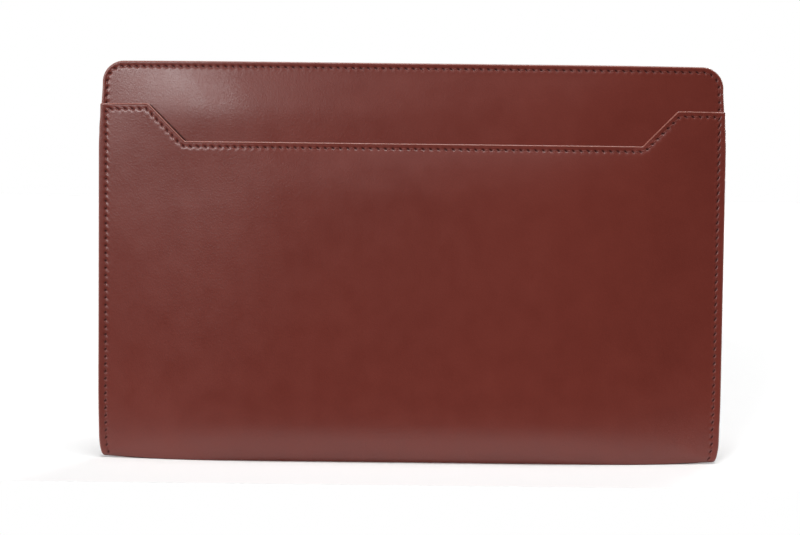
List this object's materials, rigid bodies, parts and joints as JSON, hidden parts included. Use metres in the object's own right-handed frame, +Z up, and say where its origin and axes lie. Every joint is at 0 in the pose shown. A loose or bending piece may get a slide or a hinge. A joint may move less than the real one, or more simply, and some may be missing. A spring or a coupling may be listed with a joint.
{
  "type": "leather document briefcase",
  "caption": "Slim brown leather document briefcase with a recessed top zip, sewn side seams and a front slip pocket with a cut-out edge.",
  "frame": {"origin": "centre of the base, on the surface the case stands on", "axes": "+Z up, +X along the zip, the face with the slip pocket looks towards -Y"},
  "size_m": [0.354, 0.0292, 0.225],
  "materials": {
    "case_leather": "smooth semi-gloss leather",
    "lining_fabric": "plain woven lining",
    "stiffener_board": "matte",
    "zip_tape": "woven tape",
    "zip_metal": "antique",
    "stitching_thread": "waxed thread"
  },
  "bodies": {
    "case": {"back_wrap": "case_leather", "front_panel_ends": "case_leather", "pocket_ends": "case_leather", "back_board": "stiffener_board", "back_lining": "lining_fabric", "back_zip_facing": "case_leather", "front_zip_tape_ends": "zip_tape", "back_zip_tape": "zip_tape", "front_zip_end_teeth": "zip_metal", "back_zip_teeth": "zip_metal", "zip_stops": "zip_metal", "zip_end_tabs": "case_leather", "front_end_stitching": "stitching_thread", "back_top_stitching": "stitching_thread", "pocket_end_stitching": "stitching_thread", "side_seam_stitching": "stitching_thread"},
    "front_wall": {"front_panel": "case_leather", "front_board": "stiffener_board", "front_lining": "lining_fabric", "front_zip_facing": "case_leather", "front_zip_tape": "zip_tape", "front_zip_teeth": "zip_metal", "front_top_stitching": "stitching_thread", "front_fold": "case_leather", "pocket_flanks": "case_leather", "pocket_flank_stitching": "stitching_thread"},
    "pocket": {"pocket_panel": "case_leather", "pocket_edge_stitching": "stitching_thread"},
    "slider": {"slider_upper_plate": "zip_metal", "slider_lower_plate": "zip_metal", "slider_bridge": "zip_metal"},
    "pull": {"pull_link": "zip_metal", "pull_tab": "case_leather", "pull_rivet": "zip_metal"}
  },
  "joints": [
    {"name": "front_wall_flex", "type": "hinge", "parent": "case", "child": "front_wall", "pos_m": [0, -0.008, 0], "axis": [1, 0, 0], "range_deg": [0, 6], "stiffness_Nm_per_rad": 8},
    {"name": "pocket_flex", "type": "hinge", "parent": "front_wall", "child": "pocket", "pos_m": [0, -0.0133, 0.02215], "axis": [1, 0, 0], "range_deg": [0, 4], "stiffness_Nm_per_rad": 2},
    {"name": "slider_travel", "type": "slide", "parent": "case", "child": "slider", "axis": [1, 0, 0], "range_m": [-0.247, 0]},
    {"name": "pull_swing", "type": "hinge", "parent": "slider", "child": "pull", "pos_m": [0.1275, 0, 0.2192], "axis": [0, 1, 0], "range_deg": [0, 150]}
  ]
}
